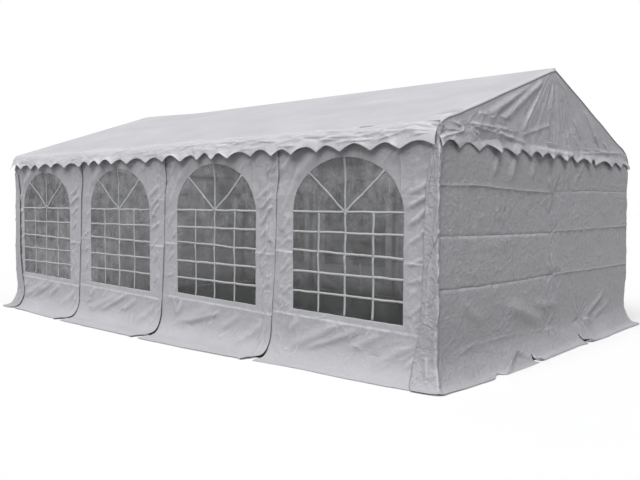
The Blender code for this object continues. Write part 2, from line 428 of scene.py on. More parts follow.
def smooth_path(points, window=9):
    """Arc lengths, positions and outward normals along a rounded path."""
    points = np.array(points, float)
    steps = np.hypot(*np.diff(points, axis=0).T)
    arcs = np.concatenate(([0.0], np.cumsum(steps)))
    fine = np.linspace(0, arcs[-1], int(arcs[-1] / 0.01) + 1)
    out, height = np.interp(fine, arcs, points[:, 0]), np.interp(fine, arcs, points[:, 1])
    half = window // 2
    for _ in range(2):
        for values in (out, height):
            first = 2 * values[0] - values[half:0:-1]
            last = 2 * values[-1] - values[-2:-half - 2:-1]
            padded = np.concatenate((first, values, last))
            values[:] = np.convolve(padded, np.ones(window) / window, "valid")
    steps = np.hypot(np.diff(out), np.diff(height))
    arcs = np.concatenate(([0.0], np.cumsum(steps)))
    slope_out, slope_up = np.gradient(out, arcs), np.gradient(height, arcs)
    return {"arc": arcs, "out": out, "z": height, "n_out": -slope_up, "n_z": slope_out}


def along_path(path, arc):
    return [np.interp(arc, path["arc"], path[key]) for key in ("out", "z", "n_out", "n_z")]


def rows_from(items, key, width, kind=np.float64):
    values = np.empty(len(items) * width, kind)
    items.foreach_get(key, values)
    return values.reshape(-1, width)


def lay_out(name, bm, shape, thickness, finish):
    """Gives a flat piece of cloth its hung shape, thickness and finish."""
    mesh = bpy.data.meshes.new(name)
    bm.to_mesh(mesh)
    bm.free()
    flat = rows_from(mesh.vertices, "co", 3)
    corners = rows_from(mesh.loops, "vertex_index", 1, np.int32)[:, 0]
    layer = mesh.uv_layers.new(name="cloth")
    layer.data.foreach_set("uv", flat[corners, :2].ravel())
    mesh.vertices.foreach_set("co", shape(flat[:, 0], flat[:, 1]).ravel())
    mesh.polygons.foreach_set("use_smooth", np.ones(len(mesh.polygons), bool))
    mesh.materials.append(finish)
    mesh.update()
    mark_crests(mesh)
    obj = bpy.data.objects.new(name, mesh)
    bpy.context.scene.collection.objects.link(obj)
    solid = obj.modifiers.new("thickness", "SOLIDIFY")
    solid.thickness = thickness
    solid.offset = -1.0
    return obj


def mark_crests(mesh):
    """Stores how far each point stands proud of its neighbours, for a painted highlight on crests
    and painted shade in hollows.
    """
    points = rows_from(mesh.vertices, "co", 3)
    facing = rows_from(mesh.vertex_normals, "vector", 3, np.float32)
    one, other = rows_from(mesh.edges, "vertices", 2, np.int32).T
    here, there = np.concatenate((one, other)), np.concatenate((other, one))
    count = np.maximum(np.bincount(here, minlength=len(points)), 1)
    mean = [np.bincount(here, points[there, axis], len(points)) / count for axis in range(3)]
    proud = ((points - np.column_stack(mean)) * facing).sum(axis=1)
    crest = mesh.attributes.new("crest", "FLOAT", "POINT")
    crest.data.foreach_set("value", np.clip(proud / 0.0022, -1.0, 1.0).astype(np.float32))


def stack(x, y, z, turned):
    """Points as rows. A turned piece stands half a turn round, on the other side."""
    sign = -1.0 if turned else 1.0
    return np.column_stack((sign * x, sign * y, z))


# Materials

def node(tree, kind, settings=None, **inputs):
    made = tree.nodes.new(kind)
    for key, value in (settings or {}).items():
        setattr(made, key, value)
    for key, value in inputs.items():
        socket = made.inputs[int(key[1:])] if key[0] == "_" else made.inputs[key.replace("_", " ")]
        if isinstance(value, bpy.types.NodeSocket):
            tree.links.new(value, socket)
        else:
            socket.default_value = value
    return made


def new_material(name):
    material = bpy.data.materials.new(name)
    material.use_nodes = True
    tree = material.node_tree
    return material, tree, tree.nodes["Principled BSDF"]


def maths(tree, operation, first, second=0.0, third=0.0):
    made = node(tree, "ShaderNodeMath", {"operation": operation}, _0=first, _1=second, _2=third)
    return made.outputs[0]


def times(tree, value, *others):
    for other in others:
        value = maths(tree, "MULTIPLY", value, other)
    return value


def mapped(tree, value, low, high, to_low, to_high):
    made = node(
        tree, "ShaderNodeMapRange", None, Value=value,
        From_Min=low, From_Max=high, To_Min=to_low, To_Max=to_high,
    )
    return made.outputs["Result"]


def cloudy(tree, place, scale, detail, roughness=0.5):
    made = node(tree, "ShaderNodeTexNoise", None, Vector=place, Scale=scale, Detail=detail,
                Roughness=roughness)
    return made.outputs["Fac"]


def net(tree, place, scale, width):
    """A net of thin ridges, like the folds in crushed cloth."""
    cells = node(tree, "ShaderNodeTexVoronoi", {"feature": "DISTANCE_TO_EDGE"},
                 Vector=place, Scale=scale)
    return mapped(tree, cells.outputs["Distance"], 0.0, width, 1.0, 0.0)


def coloured(tree, shader, colour, tone):
    tint = node(tree, "ShaderNodeVectorMath", {"operation": "SCALE"}, _0=colour, Scale=tone)
    tree.links.new(tint.outputs[0], shader.inputs["Base Color"])


def embossed(tree, shader, strength, distance, height):
    bump = node(tree, "ShaderNodeBump", None, Strength=strength, Distance=distance, Height=height)
    tree.links.new(bump.outputs["Normal"], shader.inputs["Normal"])


def fabric(name, colour, crinkle, soil, valance_painted_light=1.0):
    """Coated fabric: slight clouding, soil near the ground, fine crinkles and a woven core.

    Light is painted into the colour as well: crests are painted lighter and hollows darker, and the
    valance below the eave can be painted paler than the cloth above it.
    """
    material, tree, shader = new_material(name)
    place = node(tree, "ShaderNodeTexCoord").outputs["Object"]
    cloth = node(tree, "ShaderNodeUVMap", {"uv_map": "cloth"}).outputs["UV"]
    cloud = cloudy(tree, place, 1.7, 6.0, 0.62)
    specks = cloudy(tree, place, 38.0, 3.0, 0.6)
    height = node(tree, "ShaderNodeSeparateXYZ", None, Vector=place).outputs["Z"]
    crest = node(tree, "ShaderNodeAttribute", {"attribute_name": "crest"}).outputs["Fac"]
    dirt = times(tree, mapped(tree, height, 0.02, 0.45, soil, 0.0),
                 mapped(tree, specks, 0.42, 0.62, 0.2, 1.0))
    tone = times(
        tree,
        maths(tree, "SUBTRACT", mapped(tree, cloud, 0.3, 0.7, 0.955, 1.04), dirt),
        mapped(tree, specks, 0.3, 0.7, 0.985, 1.015),
        # Painted light: proud crests are painted up to a fifth lighter and hollows up to a fifth
        # darker.
        mapped(tree, crest, -1.0, 1.0, 0.80, 1.20),
        # Painted light: below 2.26 m, on the valance, the colour is raised by the given factor,
        # fading out by 2.41 m.
        mapped(tree, height, 2.26, 2.41, valance_painted_light, 1.0),
    )
    coloured(tree, shader, colour, tone)
    tree.links.new(mapped(tree, cloud, 0.3, 0.7, 0.48, 0.62), shader.inputs["Roughness"])
    shader.inputs["Specular IOR Level"].default_value = 0.35
    bend = node(tree, "ShaderNodeTexNoise", None, Vector=place, Scale=5.0, Detail=2.0)
    bent = node(tree, "ShaderNodeVectorMath", {"operation": "MULTIPLY_ADD"},
                _0=bend.outputs["Color"], _1=(0.14, 0.14, 0.14), _2=place).outputs[0]
    threads = [
        node(tree, "ShaderNodeTexWave", {"bands_direction": way}, Vector=cloth, Scale=130.0)
        for way in "XY"
    ]
    weave = times(tree, *[thread.outputs["Fac"] for thread in threads])
    relief = times(tree, net(tree, bent, 6.5, 0.09), 0.15 * crinkle)
    for pattern, share in (
        (net(tree, bent, 17.0, 0.12), 0.07 * crinkle),
        (cloudy(tree, bent, 24.0, 5.0, 0.58), 1.1 * crinkle),
        (weave, 0.04),
    ):
        relief = maths(tree, "MULTIPLY_ADD", pattern, share, relief)
    embossed(tree, shader, 1.0, 0.008, relief)
    return material


def window_film(colour, cover):
    """Clear film that storage has clouded, with scuffs and a dull shine.

    The haze is painted paler towards the top, as painted light, and the windows towards the left of
    the front and the right of the back are painted paler all over, as a painted reflection.
    """
    material, tree, shader = new_material("clear_film")
    place = node(tree, "ShaderNodeTexCoord").outputs["Object"]
    spot = node(tree, "ShaderNodeSeparateXYZ", None, Vector=place).outputs
    haze = cloudy(tree, place, 2.3, 5.0, 0.6)
    stretch = node(tree, "ShaderNodeMapping", None, Vector=place, Rotation=(0.0, 0.6, 0.0),
                   Scale=(30.0, 30.0, 3.5)).outputs["Vector"]
    scuffs = cloudy(tree, stretch, 1.0, 4.0, 0.7)
    stain = cloudy(tree, place, 6.0, 6.0, 0.72)
    # Painted light: the haze is painted darker at the foot of a window and paler towards its top.
    painted_top_light = mapped(tree, spot["Z"], 0.55, 2.10, 0.36, 2.10)
    # Painted reflection: windows towards the left of the front and the right of the back are
    # painted paler all over, and their haze covers more.
    painted_glare = mapped(tree, times(tree, spot["X"], spot["Y"]), -1.25, 6.25, 0.0, 1.0)
    bright = maths(tree, "MULTIPLY_ADD", painted_glare, maths(tree, "SUBTRACT", 1.9, painted_top_light), painted_top_light)
    bright = times(tree, bright, mapped(tree, haze, 0.35, 0.65, 0.66, 1.34),
                   mapped(tree, stain, 0.4, 0.62, 0.62, 1.42))
    bright = maths(tree, "ADD", bright, mapped(tree, scuffs, 0.60, 0.70, 0.0, 1.1))
    coloured(tree, shader, colour, bright)
    cover_by = maths(tree, "ADD", mapped(tree, haze, 0.3, 0.7, cover - 0.07, cover + 0.07),
                     mapped(tree, scuffs, 0.62, 0.72, 0.0, 0.2))
    cover_by = maths(tree, "MULTIPLY_ADD", painted_glare, 0.12, cover_by)
    tree.links.new(cover_by, shader.inputs["Alpha"])
    tree.links.new(mapped(tree, haze, 0.3, 0.7, 0.12, 0.26), shader.inputs["Roughness"])
    embossed(tree, shader, 0.5, 0.004, cloudy(tree, place, 7.0, 3.0))
    shader.inputs["Specular IOR Level"].default_value = 0.5
    return material


def galvanised():
    """Hot-dipped steel tube: grey spangle, dull patches and fine drawing marks."""
    material, tree, shader = new_material("galvanised_tube")
    place = node(tree, "ShaderNodeTexCoord").outputs["Object"]
    spangle = node(tree, "ShaderNodeTexVoronoi", None, Vector=place, Scale=90.0)
    grain = node(tree, "ShaderNodeSeparateColor", None, Color=spangle.outputs["Color"])
    patch = cloudy(tree, place, 9.0, 5.0)
    tone = times(tree, mapped(tree, grain.outputs[0], 0.0, 1.0, 0.86, 1.06),
                 mapped(tree, patch, 0.3, 0.7, 0.8, 1.05))
    coloured(tree, shader, STEEL_COLOUR, tone)
    shader.inputs["Metallic"].default_value = 0.85
    tree.links.new(mapped(tree, patch, 0.3, 0.7, 0.34, 0.55), shader.inputs["Roughness"])
    embossed(tree, shader, 0.25, 0.0008, cloudy(tree, place, 160.0, 2.0))
    return material


# Roof cover

def scallop(along, pitch):
    return TIP_DROP - (TIP_DROP - NOTCH_DROP) * np.abs(np.sin(math.pi * along / pitch))


def roof_path():
    """From the ridge down one slope, round the eave and down the valance to its tips."""
    run = EAVE_Y - 0.020
    return smooth_path((
        (0.0, RIDGE_Z),
        (run, RIDGE_Z - run * math.tan(SLOPE)),
        (2.530, 2.429),
        (2.553, 2.397),
        (2.568, 2.350),
        (2.578, 2.300),
        (2.583, 2.250),
        (2.586, EAVE_Z - TIP_DROP),
    ), window=5)


EAVE_BEND = 2.67
VERGE_AT = 3.9727
VERGE_ROUND = 0.036
FAR_RISE = 0.045

# Folds along the near eave: both ends, along the tent and past the bend, then height and width
EAVE_FOLDS = (
    (3.12, 0.03, 3.42, -0.02, 0.010, 0.014), (3.34, -0.02, 3.70, 0.00, 0.008, 0.014),
    (3.62, 0.00, 3.98, -0.01, 0.012, 0.014), (2.96, 0.05, 3.26, 0.05, 0.007, 0.014),
    (3.14, 0.10, 3.44, 0.05, 0.014, 0.014), (3.42, 0.06, 3.94, 0.05, 0.014, 0.014),
    (3.45, 0.03, 3.72, 0.04, -0.010, 0.014), (3.41, 0.06, 3.58, 0.13, 0.010, 0.014),
    (2.18, 0.02, 2.48, 0.07, 0.010, 0.014), (2.40, 0.07, 2.80, 0.08, -0.012, 0.014),
    (3.04, 0.08, 3.24, 0.15, 0.009, 0.014), (2.02, 0.10, 2.36, 0.05, 0.010, 0.014),
    (2.84, 0.14, 3.10, 0.12, 0.010, 0.014), (3.78, 0.11, 3.98, 0.07, 0.010, 0.014),
    (2.44, 0.05, 2.76, 0.05, 0.009, 0.014), (1.20, 0.04, 1.90, 0.02, 0.008, 0.014),
)
# How far the valance's tips have swung along the long sides
SIDE_TIPS = (
    (-4.01, 0.0), (-2.88, -0.09), (-2.57, -0.07), (-1.96, 0.05), (-1.54, -0.03), (-0.77, -0.10),
    (-0.34, 0.0), (0.21, 0.05), (0.48, 0.08), (0.98, -0.02), (1.25, -0.08), (1.63, -0.04),
    (1.98, -0.03), (2.26, -0.08), (2.63, -0.05), (2.88, -0.12), (3.30, -0.04), (3.62, -0.05),
    (4.01, 0.0),
)


def far_rise(x, out):
    """How far the left end of the roof stands up off its frame, most at the ridge."""
    return FAR_RISE * smooth_step((-2.2 - x) / 1.8) * (1.0 - 0.55 * np.clip(out / EAVE_Y, 0, 1))


def roof_shape(path, creasing):
    """Where each point of the flat roof cover lies, from its place along and across the tent."""
    full = path["arc"][-1]
    bend = EAVE_BEND
    pitch = 2 * ROOF_END / SIDE_SCALLOPS

    def shape(s, v):
        arc, side = np.abs(v), np.where(v < 0, -1.0, 1.0)
        along = s + ROOF_END
        cut = scallop(along, pitch) + 0.010 * noise(along / 0.23, side, 5)
        below = np.clip((arc - bend) / (full - bend), 0, 1)
        hang = bend + below * (full - bend) * cut / TIP_DROP
        arc = np.where(arc > bend, hang, arc)
        out, z, n_out, n_z = along_path(path, arc)
        bay_sag = np.sin(math.pi * np.clip((s + LENGTH / 2) / BAY, 0, BAYS)) ** 2
        slope_sag = np.sin(math.pi * np.clip(arc / bend, 0, 1)) ** 0.7
        relief = -0.010 * bay_sag * slope_sag
        on_slope = slope_sag * smooth_step((bend - arc) / 0.2)
        relief = relief + 0.0022 * on_slope * rough(s / 0.9, arc / 0.5 + 9 * side, 3)
        edge = smooth_step((arc - bend + 0.17) / 0.14)
        near = s * -side
        folds = random_creases(
            near, arc, (-4.0, 4.0, bend - 0.05, bend + 0.14), 190, 0.55, 0.015, 11,
            heading=(0.0, 0.16), width=0.012,
        )
        folds = folds + creases(near, arc - bend, EAVE_FOLDS, fade=0.2)
        busy = 0.30 + 0.70 * smooth_step((near + 0.5) / 3.0)
        relief = relief + creasing * edge * (folds * busy + 0.005 * rough(s / 0.14, arc / 0.08, 21))
        wave = np.sin(2 * math.pi * along / (2.35 * pitch) + 2.2 * noise(along / 0.9, side, 8))
        relief = relief + below ** 1.3 * (0.010 * wave + 0.014 * rough(along / 0.15, side, 9, 2))
        curl = noise(along / (0.6 * pitch), side, 10)
        relief = relief + 0.030 * below ** 4 * np.maximum(curl, -0.3)
        relief = np.maximum(relief, np.where(arc > bend, -0.006, -1.0))
        past = np.clip((np.abs(s) - VERGE_AT) / (ROOF_END - VERGE_AT), 0, 1)
        turn = 1.40 * past
        drop = VERGE_ROUND * (1 - np.cos(turn)) * (1 - below)
        drop = drop * (1 + 0.25 * noise(out / 0.25, side, 31)) + 0.010 * past * np.exp(-arc / 0.15)
        drop = drop + 0.007 * past * smooth_step((out - 1.3) / 0.6) * rough(out / 0.05, side, 33, 2)
        corner = smooth_step((s - 3.72) / 0.29)
        drop = drop + 0.030 * corner * np.exp(-((arc - bend - 0.02) / 0.09) ** 2)
        drop = drop - 0.016 * corner * np.exp(-((arc - bend + 0.22) / 0.10) ** 2)
        turned_over = VERGE_AT + VERGE_ROUND * np.sin(turn) + 0.004 * past * below
        x = np.where(past > 0, np.sign(s) * turned_over, s)
        x = x - side * below * np.interp(near, *zip(*SIDE_TIPS))
        drop = drop - far_rise(s, out)
        return np.column_stack((x, side * (out + n_out * relief), z + n_z * relief - drop))

    return shape


class TENT_OT_roof(bpy.types.Operator):
    """Lays the roof cover with both side valances over the frame"""
    bl_idname = "tent.roof"
    bl_label = "Roof cover"

    def execute(self, context):
        cloth = context.scene.tent_cloth
        path = roof_path()
        full = path["arc"][-1]
        half_rows = np.concatenate((
            np.linspace(0.0, 0.06, 3),
            np.linspace(0.13, EAVE_BEND - 0.22, 14),
            spaced(EAVE_BEND - 0.17, full, 0.0125),
        ))
        rows = np.concatenate((-half_rows[:0:-1], half_rows))
        verge = np.linspace(VERGE_AT, ROOF_END, 7)
        inner = np.linspace(-VERGE_AT, VERGE_AT, SIDE_SCALLOPS * 18)[1:-1]
        columns = np.concatenate((-verge[::-1], inner, verge))
        bm = flat_grid(columns, rows)
        # The last value paints the valance paler than the roof: painted light.
        finish = fabric("roof_fabric", cloth.roof_colour, 0.35, 0.0, 1.16)
        cover = lay_out("roof_sheet", bm, roof_shape(path, cloth.creasing), cloth.thickness, finish)
        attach(cover, "root")
        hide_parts("roof_cover")
        return {"FINISHED"}


# Gables

# Soft folds and sharp creases of a gable: both ends, across and up, then height and width
GABLE_FOLDS = (
    (-0.30, 3.12, -1.31, 2.54, 0.024, 0.045), (-0.56, 3.04, -1.66, 2.55, 0.018, 0.050),
    (-0.20, 3.16, -0.81, 2.60, -0.016, 0.030), (-0.44, 3.08, -1.46, 2.56, -0.012, 0.030),
    (-0.095, 3.20, -0.05, 2.70, 0.008, 0.020), (-0.04, 3.20, -0.22, 2.80, -0.008, 0.020),
    (0.14, 3.12, 0.60, 2.70, -0.010, 0.030), (-0.629, 2.335, 0.641, 2.315, 0.010, 0.022),
)
GABLE_CREASES = (
    (-0.15, 3.22, -0.90, 2.44, 0.026, 0.024), (-0.90, 2.434, -0.085, 2.622, 0.016, 0.014),
    (0.04, 3.20, 0.355, 2.888, 0.014, 0.020), (0.33, 2.91, 0.85, 2.484, 0.018, 0.020),
    (0.87, 2.893, 1.415, 2.452, 0.018, 0.024), (1.20, 2.62, 1.44, 2.43, 0.012, 0.016),
    (1.559, 2.533, 1.771, 2.429, 0.014, 0.016), (-1.924, 2.468, -1.484, 2.474, 0.018, 0.014),
    (-1.60, 2.474, -0.903, 2.468, 0.012, 0.016), (-1.923, 2.450, -1.276, 2.412, 0.018, 0.014),
    (-1.40, 2.422, -0.733, 2.358, 0.018, 0.014), (-2.277, 2.471, -2.051, 2.409, 0.018, 0.014),
    (-2.531, 2.289, -2.051, 2.390, 0.018, 0.014), (-2.394, 2.380, -2.051, 2.396, 0.012, 0.014),
    (-1.882, 2.404, -1.733, 2.369, 0.014, 0.014), (-1.305, 2.402, -1.028, 2.388, 0.014, 0.014),
    (-1.768, 2.592, -1.792, 2.51, 0.008, 0.014), (0.684, 2.345, 2.312, 2.433, 0.014, 0.014),
    (1.224, 2.422, 1.773, 2.402, 0.012, 0.014), (0.55, 2.64, 0.66, 2.44, 0.008, 0.014),
)


def gable_relief(y, z, creasing):
    """Folds that run down from the ridge, rolls near the corners and a sewn line at the foot."""
    relief = 0.004 * rough(y / 0.5, z / 0.4, 41)
    relief += creases(y, z, GABLE_FOLDS, fade=0.14, sharp=False)
    relief += creases(y, z, GABLE_CREASES, fade=0.14)
    relief += 0.35 * crumple(y, z, 42)
    relief += strewn(y, z, 43, (
        ((-2.5, -1.1, 2.24, 2.62), 50, 0.30, 0.013, (0.1, 0.5), 0.013),
        ((-2.5, 2.5, 2.22, 2.56), 60, 0.24, 0.008, (0.1, 0.5), 0.014),
    ))
    fan = np.arctan2(np.abs(y) + 0.02, RIDGE_Z - z + 0.02)
    relief += 0.005 * noise(fan / 0.07, np.sign(y) * 3.0, 45) * smooth_step((3.2 - z) / 0.3)
    return creasing * relief


# How far the valance's tips have swung along the end, and where that bunches it up
END_TIPS = (
    (-2.52, 0.0), (-2.16, -0.03), (-1.80, 0.01), (-1.44, 0.02), (-1.08, 0.04), (-0.72, 0.07),
    (-0.36, -0.08), (0.0, -0.17), (0.36, -0.12), (0.72, -0.11), (1.08, -0.08), (1.44, -0.20),
    (1.80, 0.02), (2.16, 0.04), (2.52, 0.0),
)
END_SQUEEZE = (
    (-2.52, 0.0), (-0.80, 0.0), (-0.54, -1.0), (-0.20, -0.4), (0.10, 0.0), (0.95, 0.0),
    (1.24, -0.6), (1.50, 0.0), (2.52, 0.0),
)


def gable_shape(half, creasing, turned):
    """The flat gable is a strip. Each column runs from its scallop up to the roof's edge."""
    pitch = 2 * half / END_SCALLOPS

    def shape(s, v):
        out = np.abs(s)
        drop = scallop(s + half, pitch) + 0.006 * noise(s / 0.19, 0.5, 51)
        low = EAVE_Z - drop
        middle = np.sin(math.pi * np.clip(out / EAVE_Y, 0, 1)) ** 0.7
        high = RIDGE_Z - out * math.tan(SLOPE) - 0.017 - 0.004 * middle
        if turned:
            high = high + far_rise(-GABLE_OUT, out)
        z = low + v * (high - low)
        inner = smooth_step((high - z) / 0.12)
        below = smooth_step((EAVE_Z - 0.06 - z) / 0.16)
        relief = inner * (gable_relief(s, z, creasing) + 0.006)
        relief = np.maximum(relief, -0.012 * inner + 0.020 * below)
        wave = np.sin(2 * math.pi * (s + half) / (1.9 * pitch) + 2.0 * noise(s / 0.8, 0.0, 52))
        flare = 0.040 + 0.016 * wave + 0.012 * rough(s / 0.15, 0.3, 53, 2)
        shift = np.interp(s, *zip(*END_TIPS))
        squeeze = np.clip(-np.interp(s, *zip(*END_SQUEEZE)), -1.0, 1.0)
        relief = relief + below * (flare + 0.030 * np.maximum(squeeze, 0.0))
        corner = smooth_step((out - half + 0.03) / 0.03)
        curl = noise((s + half) / (0.6 * pitch), 0.0, 54)
        relief = relief + 0.020 * below ** 4 * np.maximum(curl, -0.3)
        x = GABLE_OUT - 0.004 + relief - 0.004 * corner
        y = s + below ** 1.5 * shift * (1 - corner)
        return stack(x, y, z, turned)

    return shape


class TENT_OT_gables(bpy.types.Operator):
    """Hangs a gable with its valance under each end of the roof"""
    bl_idname = "tent.gables"
    bl_label = "Gables"

    def execute(self, context):
        cloth = context.scene.tent_cloth
        finish = fabric("gable_fabric", cloth.gable_colour, 0.9, 0.0)
        half = EAVE_Y - 0.004
        for side, turned in (("right", False), ("left", True)):
            fineness = 12 if turned else 16
            across = np.linspace(-half, half, END_SCALLOPS * fineness + 1)
            up = np.linspace(0.0, 1.0, 44 if turned else 60) ** 0.85
            bm = flat_grid(across, up)
            shape = gable_shape(half, cloth.creasing, turned)
            gable = lay_out(f"gable_sheet_{side}", bm, shape, cloth.thickness, finish)
            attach(gable, "root")
            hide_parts(f"gable_{side}")
        return {"FINISHED"}


# Long walls

def panel_span(bay):
    """Where a side panel starts and ends at its top, measured from the start of its bay."""
    left = 0.012 if bay == 0 else -UNDERLAP
    right = BAY - 0.012 if bay == BAYS - 1 else BAY + OVERLAP
    return left, right


# Packing creases of a side panel: row, height at the left and right post, and how far it juts
SIDE_ROWS = (
    (1.785, 1.800, 1.763, 0.0040),
    (1.160, 1.184, 1.132, 0.0085),
    (0.485, 0.513, 0.465, 0.0095),
)
SEAM_AT = 1.615
HEM = 0.05

# Folds of a side panel: both ends, along its bay and up, then height and width
SIDE_FOLDS = (
    (1.62, 1.80, 1.97, 1.93, 0.014, 0.026), (1.64, 1.63, 1.97, 1.82, 0.018, 0.030),
    (1.66, 1.47, 1.95, 1.70, 0.016, 0.026), (1.66, 1.30, 1.93, 1.48, 0.012, 0.024),
    (1.66, 1.13, 1.90, 1.24, 0.008, 0.022), (1.66, 0.93, 1.90, 1.03, 0.008, 0.022),
    (1.66, 0.62, 1.90, 0.80, 0.010, 0.026), (0.66, 2.30, 0.24, 1.92, 0.022, 0.060),
    (0.34, 2.14, 0.05, 1.60, 0.016, 0.040), (0.24, 2.30, 0.02, 2.02, 0.012, 0.030),
    (0.20, 1.62, 0.00, 1.36, 0.012, 0.030), (0.19, 1.34, 0.00, 1.18, 0.010, 0.024),
    (0.18, 1.10, 0.00, 0.94, 0.010, 0.024), (0.17, 0.86, 0.01, 0.72, 0.009, 0.022),
    (1.50, 2.08, 1.70, 2.36, 0.014, 0.030), (0.10, 0.14, 0.96, 0.49, 0.024, 0.060),
    (0.34, 0.16, 1.14, 0.47, 0.016, 0.035), (0.12, 0.32, 0.34, 0.46, 0.012, 0.035),
    (0.96, 0.24, 1.40, 0.46, 0.014, 0.045), (1.30, 0.08, 1.86, 0.42, 0.016, 0.055),
    (1.66, 0.12, 1.92, 0.36, 0.012, 0.030),
)


def side_lines(bay):
    """The packing creases of one side panel, which all slope a little."""
    lines = []
    for number, (row, first, last, height) in enumerate(SIDE_ROWS):
        shift = 0.0 if bay == BAYS - 1 else 0.02 * float(noise(bay * 1.7, number, 71))
        knots = [(x, first + (last - first) * x / BAY + shift) for x in (-0.15, 2.05)]
        lines.append((row, knots, height, height))
    return lines


def side_relief(x, z, bay, creasing):
    """Creases, folds and hems of one side panel, over its own x and height."""
    seed = 100 + 10 * bay
    left, right = panel_span(bay)
    relief = 0.005 + 0.008 * rough(x / 0.55 + 31 * bay, z / 0.9, seed)
    hang = np.exp(-np.clip(WALL_TOP - z, 0, 3) / 0.30)
    relief += 0.008 * hang * noise(x / 0.15, z * 0.6, seed + 1)
    relief += line_crests(x, z, side_lines(bay), 0.008, seed, ledge=True)
    relief += crease(x, z, (SEAM_AT, 2.40), (SEAM_AT, 1.79), 0.009, 0.012, 0.0, 0.08)
    relief += crease(x, z, (1.12, 2.38), (1.15, 2.12), 0.006, 0.012)
    relief += crease(x, z, (1.36, 2.05), (1.52, 2.22), 0.007, 0.012)
    draw = np.random.default_rng(seed + 3)
    for fold in SIDE_FOLDS:
        ends = fold[:4] + draw.uniform(-0.05, 0.05, 4) * (0.3 if bay == BAYS - 1 else 1.0)
        size = 1.15 * fold[4] * draw.uniform(0.7, 1.1)
        bow = draw.uniform(-0.02, 0.02)
        relief += crease(x, z, ends[:2], ends[2:], size, fold[5], bow, 0.3, False)
    edges = np.exp(-np.abs(x - 0.02) / 0.14) + np.exp(-np.abs(x - 1.93) / 0.14)
    relief += (0.15 + 0.55 * edges) * crumple(x, z, seed + 9)
    relief += strewn(x, z, seed + 4, (
        ((0.0, 2.0, 0.25, 2.4), 70, 0.30, 0.0060, None, 0.016),
        ((1.68, 1.98, 0.5, 2.2), 30, 0.20, 0.008, (0.6, 0.35), 0.014),
        ((0.0, 0.2, 0.5, 2.2), 26, 0.20, 0.008, (0.6, 0.4), 0.014),
        ((0.1, 1.9, 0.12, 0.5), 26, 0.28, 0.007, (0.6, 0.5), 0.016),
    ))
    relief = creasing * relief
    if bay < BAYS - 1:
        under = BAY - UNDERLAP - 0.10 * (1 - z / WALL_TOP)
        relief += 0.006 * smooth_step((x - under) / 0.014 + 0.5)
        relief += random_creases(x, z, (under.min() - 0.04, BAY, 0.3, 2.3), 44, 0.14, 0.008,
                                 seed + 8, (0.9, 0.4), 0.010)
    hem = smooth_step((x - (right - HEM - edge_lean(bay, z))) / 0.008)
    relief += 0.0012 * hem
    relief += 0.0015 * smooth_step((0.045 - (x - left)) / 0.008)
    relief *= 1 - 0.5 * smooth_step((z - 2.10) / 0.2)
    calm = smooth_step((x - left) / 0.10) if bay else 1.0
    return np.maximum(relief * (0.3 + 0.7 * calm), -0.001)


def edge_lean(bay, z):
    """How far a panel's lapping edge has swung to the left at each height."""
    if bay == BAYS - 1:
        return 0.0 * z
    return np.interp(z, (0.0, 0.13, 0.41, 0.75, 1.19, 1.57, 1.85, 2.0, 2.42),
                     (0.17, 0.150, 0.136, 0.106, 0.076, 0.062, 0.048, 0.018, 0.0))


def side_shape(bay, path, creasing, turned):
    left, right = panel_span(bay)
    tip = path["out"][-1]

    def shape(s, v):
        out, z, n_out, n_z = along_path(path, -v)
        near_edge = smooth_step((s - 1.66) / (right - 1.66))
        skirt = smooth_step((out - 0.06) / (tip - 0.06))
        x = s - near_edge * edge_lean(bay, z)
        if bay < BAYS - 1:
            x = x - 0.10 * near_edge ** 3 * skirt
        start = -LENGTH / 2 + BAY * bay
        world = start + x
        reach = np.interp(world, SIDE_REACH_X, SIDE_REACH)
        reach = reach + 0.015 + 0.012 * rough(world / 0.33, 0.0, 61, 2)
        if bay < BAYS - 1:
            reach = reach + 0.05 * np.exp(-((s - right + 0.12) / 0.14) ** 2)
        reach = np.minimum(reach, REACH_LIMIT)
        spread = smooth_step(out / tip)
        out = out + (reach - tip) * spread * out / tip
        row = WALL_TOP + v
        relief = side_relief(s, row, bay, creasing)
        z = z + line_shift(s, row, side_lines(bay), 72 + bay)
        ripple = 0.014 * rough(world / 0.30, -v / 0.25, 62) + 0.008
        relief = relief * (1 - 0.7 * skirt) + np.maximum(ripple, 0.0) * skirt * (1 - skirt ** 4)
        lap = SHINGLE * np.clip((s - left) / (right - left), 0, 1)
        lift = 0.004 * skirt + 0.010 * skirt * smooth_step((s - right + 0.25) / 0.2)
        y = -(WALL_OUT + lap * (1 - skirt) + out + n_out * relief)
        z = np.maximum(z + n_z * relief + lift * (bay < BAYS - 1), 0.003)
        return stack(world, y, z, turned)

    return shape


def arch_outline(windows, margin, chords=28):
    """A window's outline in its panel, anticlockwise from its lower left corner."""
    half, rise = windows.width / 2 + margin, windows.rise + margin
    middle = windows.left + windows.width / 2
    low = windows.foot - margin - WALL_TOP
    points = [(middle - half, low), (middle + half, low)]
    for step in range(chords + 1):
        turn = math.pi * step / chords
        height = windows.spring + rise * math.sin(turn) - WALL_TOP
        points.append((middle + half * math.cos(turn), height))
    return points


def outline_area(points):
    pairs = zip(points, points[1:] + points[:1])
    return abs(sum(a[0] * b[1] - b[0] * a[1] for a, b in pairs)) / 2


def film_shape(bay, path, windows, creasing, turned, forward):
    """The film lies behind its panel at the edge of the window and waves freely inside it."""
    panel = side_shape(bay, path, creasing, False)
    half = windows.width / 2
    middle = windows.left + half

    def shape(s, v):
        z = WALL_TOP + v
        flat_part = np.minimum(half - np.abs(s - middle), z - windows.foot)
        away = np.hypot((s - middle) / half, (z - windows.spring) / windows.rise)
        round_part = (1 - away) * half
        inner = smooth_step(np.where(z > windows.spring, round_part, flat_part) / 0.10)
        slack = 0.0035 * (1 + rough(s / 0.33, z / 0.28, 81 + bay)) + 0.002
        slack = slack + random_creases(s, z, (0.2, 1.65, 0.55, 2.15), 24, 0.4, 0.0022, 83 + bay)
        place = panel(s, v)
        place[:, 1] += forward + inner * np.maximum(slack, 0.0)
        if turned:
            place[:, :2] *= -1
        return place

    return shape


